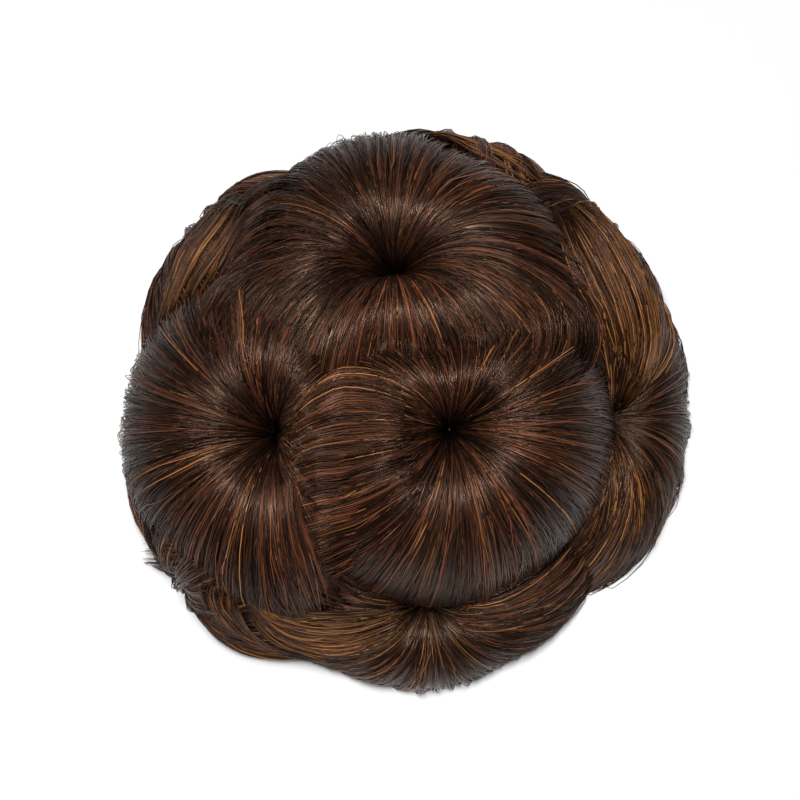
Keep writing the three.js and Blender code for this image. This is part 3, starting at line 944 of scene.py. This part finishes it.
def long_lock(name, lock, seed):
    """A lock of strands between its guide curves, which hang together in wisps."""
    random = np.random.default_rng(seed)
    count = lock["strands"]
    wisps = count // STRANDS_PER_WISP
    wisp = random.integers(0, wisps, count)
    guides = np.array(lock["guides"]) / 1000
    across = random.uniform(0, 1, wisps)[wisp] + random.normal(0, WISP_SPREAD, count)
    across = np.clip(across, 0, 1) * (len(guides) - 1)
    guide = np.minimum(across.astype(int), len(guides) - 2)
    part = (across - guide)[:, None, None]
    rows = guides[guide] * (1 - part) + guides[guide + 1] * part
    start = END_SPREAD * random.beta(1, 3, wisps)[wisp] + random.uniform(0, 0.08, count)
    end = 1 - END_SPREAD * random.beta(1, 3, wisps)[wisp] - random.uniform(0, 0.08, count)
    end = np.maximum(end, start + SHORTEST_RUN)
    along = start[:, None] + (end - start)[:, None] * np.linspace(0, 1, STRAND_STEPS)
    sway = np.stack([smooth_noise(random, wisps, 3), smooth_noise(random, wisps, 3)], -1)[wisp]
    stray = np.stack([smooth_noise(random, count, 3), smooth_noise(random, count, 3)], -1)
    length = np.linalg.norm(np.diff(guides, axis=1), axis=-1).sum() / len(guides)
    bow = length * np.sin(np.pi * along)[..., None]
    plan = smooth_curve(rows, along) + bow * (WISP_SWAY * sway + STRAND_SWAY * stray)
    loft = random.uniform(0.3, 1, wisps)[wisp] * random.uniform(0.7, 1, count) * lock["loft"] / 1000
    clearance = 0.0001 + loft[:, None] * np.interp(along, [0, 0.2, 0.85, 1], [0, 1, 1, 0.4])
    paths = lie_over(plan, clearance, lock["sag"] / 1000)
    outward = np.broadcast_to(np.array([0, 0, 1.0]), paths.shape)
    starts_in_pit, ends_in_pit = lock["pits"]
    first = PIT_PAINTED_SHADE if starts_in_pit else OPEN_SHADE
    last = PIT_PAINTED_SHADE[::-1] if ends_in_pit else OPEN_SHADE
    # Painted shade darkens the ends in pits, and a painted highlight makes the middle of the run
    # brighter than the stretches beside it
    painted_shade_and_highlight = [0, 0.08, 0.25, 0.5, 0.78, 0.93, 1], [*first, 0.8, 1, 0.8, *last]
    tones = strand_tones(along, lock["mix"], random, wisp, painted_shade_and_highlight)
    # Painted light and shade: the lock's tones are scaled by its light factor
    tones[..., :3] *= lock["light"]
    width = STRAND_WIDTH * random.uniform(0.7, 1.25, count)
    piece = piece_of_hair("lock_" + name, strand_mesh("lock_" + name, paths, outward, width, tones))
    print(piece.name, "has", count, "strands")
    return piece


for seed, (name, lock) in enumerate(LONG_LOCKS.items()):
    long_lock(name, lock, 100 + seed)

# %% [markdown]
# ## The cap and the claw
#
# The underside shows the elastic net that the flowers are pinned to, and the claw. Both
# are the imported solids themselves, which already have the right shape, with a finish of
# their own: threads that cross in a fine diamond net, and smooth dark plastic.

# %% Net and plastic
NET_PITCH = 0.0022
WAVE_LENGTH_AT_SCALE_ONE = 0.314


def net_material():
    """Dark brown thread in a diamond net, as two crossing sets of waves."""
    material = bpy.data.materials.new("brown_net")
    material.use_nodes = True
    nodes, links = material.node_tree.nodes, material.node_tree.links
    shader = nodes["Principled BSDF"]
    shader.inputs["Roughness"].default_value = 0.85
    shader.inputs["Specular IOR Level"].default_value = 0.25
    place = nodes.new("ShaderNodeTexCoord")
    threads = []
    for direction in ("X", "Y"):
        wave = nodes.new("ShaderNodeTexWave")
        wave.wave_type = "BANDS"
        wave.bands_direction = direction
        wave.inputs["Scale"].default_value = WAVE_LENGTH_AT_SCALE_ONE / NET_PITCH
        wave.inputs["Distortion"].default_value = 0.6
        wave.inputs["Detail"].default_value = 1
        links.new(place.outputs["Object"], wave.inputs["Vector"])
        threads.append(wave)
    net = nodes.new("ShaderNodeMath")
    net.operation = "MAXIMUM"
    links.new(threads[0].outputs["Fac"], net.inputs[0])
    links.new(threads[1].outputs["Fac"], net.inputs[1])
    colours = nodes.new("ShaderNodeValToRGB")
    colours.color_ramp.elements[0].position = 0.55
    colours.color_ramp.elements[0].color = (0.006, 0.0045, 0.0035, 1)
    colours.color_ramp.elements[1].position = 0.85
    colours.color_ramp.elements[1].color = (0.032, 0.022, 0.016, 1)
    bump = nodes.new("ShaderNodeBump")
    bump.inputs["Strength"].default_value = 0.8
    bump.inputs["Distance"].default_value = 0.0004
    links.new(net.outputs["Value"], colours.inputs["Fac"])
    links.new(colours.outputs["Color"], shader.inputs["Base Color"])
    links.new(net.outputs["Value"], bump.inputs["Height"])
    links.new(bump.outputs["Normal"], shader.inputs["Normal"])
    return material


def claw_material():
    """Smooth dark plastic with the faint unevenness of a moulding."""
    material = bpy.data.materials.new("dark_plastic")
    material.use_nodes = True
    nodes, links = material.node_tree.nodes, material.node_tree.links
    shader = nodes["Principled BSDF"]
    shader.inputs["Specular IOR Level"].default_value = 0.5
    place = nodes.new("ShaderNodeTexCoord")
    cloud = nodes.new("ShaderNodeTexNoise")
    cloud.inputs["Scale"].default_value = 120
    cloud.inputs["Detail"].default_value = 2
    links.new(place.outputs["Object"], cloud.inputs["Vector"])
    colours = nodes.new("ShaderNodeValToRGB")
    colours.color_ramp.elements[0].position = 0.3
    colours.color_ramp.elements[0].color = (0.020, 0.010, 0.006, 1)
    colours.color_ramp.elements[1].position = 0.7
    colours.color_ramp.elements[1].color = (0.034, 0.017, 0.010, 1)
    gloss = nodes.new("ShaderNodeMapRange")
    gloss.inputs["To Min"].default_value = 0.2
    gloss.inputs["To Max"].default_value = 0.34
    links.new(cloud.outputs["Fac"], colours.inputs["Fac"])
    links.new(colours.outputs["Color"], shader.inputs["Base Color"])
    links.new(cloud.outputs["Fac"], gloss.inputs["Value"])
    links.new(gloss.outputs["Result"], shader.inputs["Roughness"])
    return material


for node, material in (("net_cap", net_material()), ("claw", claw_material())):
    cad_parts[node].data.materials.clear()
    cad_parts[node].data.materials.append(material)
    print(node, "is finished in", material.name)
